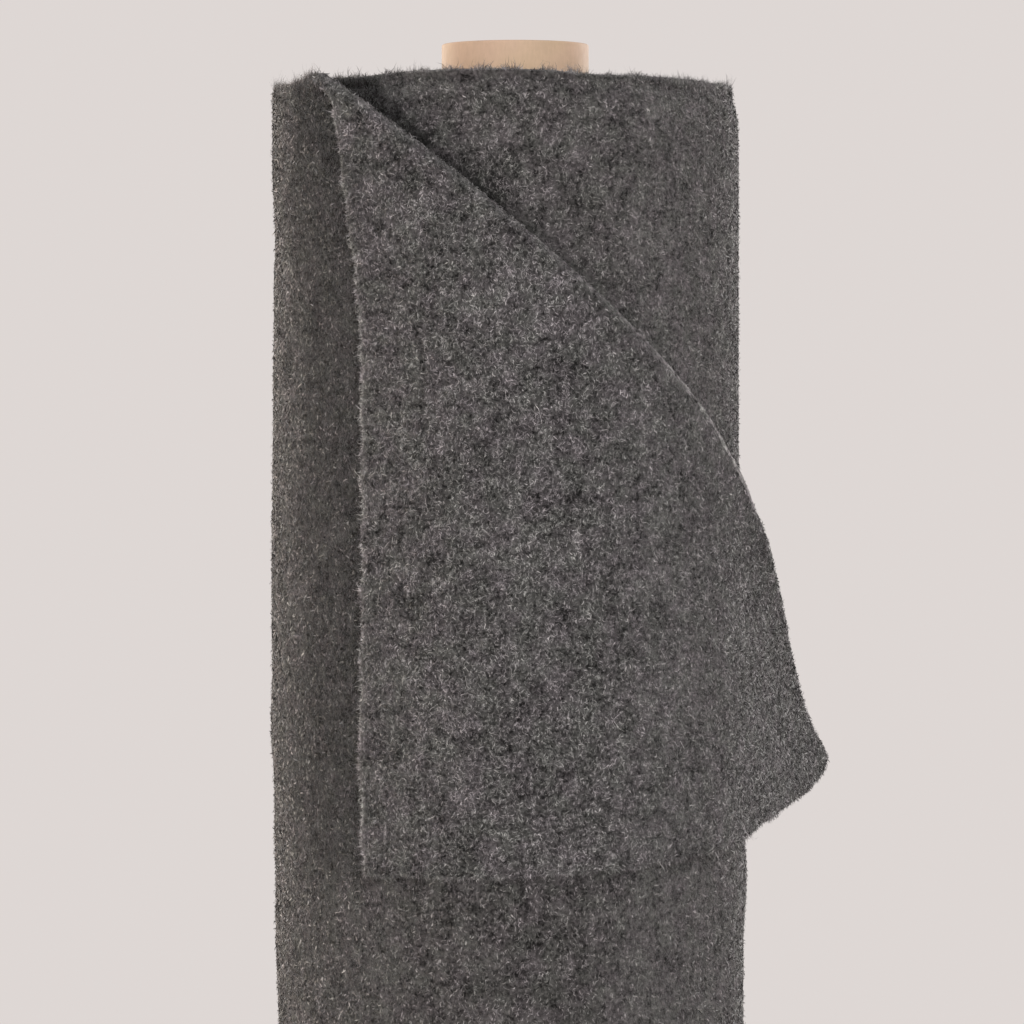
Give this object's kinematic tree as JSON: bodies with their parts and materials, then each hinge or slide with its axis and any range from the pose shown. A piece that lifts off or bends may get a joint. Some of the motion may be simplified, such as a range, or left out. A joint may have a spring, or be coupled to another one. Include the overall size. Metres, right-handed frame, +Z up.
{
  "type": "roll of wool fabric",
  "caption": "Full-width roll of thick napped wool cloth on a cardboard tube, standing on end, with the top corner of its loose last turn folded down over the front.",
  "frame": {"origin": "middle of the part's box at the level that it stands on", "axes": "+Z up along the roll, -Y the front where the folded corner lies, +X to the right seen from the front"},
  "size_m": [0.221, 0.1856, 1.515],
  "materials": {
    "cardboard": "smooth kraft board, matt",
    "wool": "dark grey heather wool with a raised nap, matt",
    "wool_reverse": "dark grey heather wool, the same cloth showing both its faces, matt"
  },
  "bodies": {
    "root": {"core_tube": "cardboard", "wound_cloth": "wool", "loose_end": "wool_reverse"}
  },
  "joints": []
}
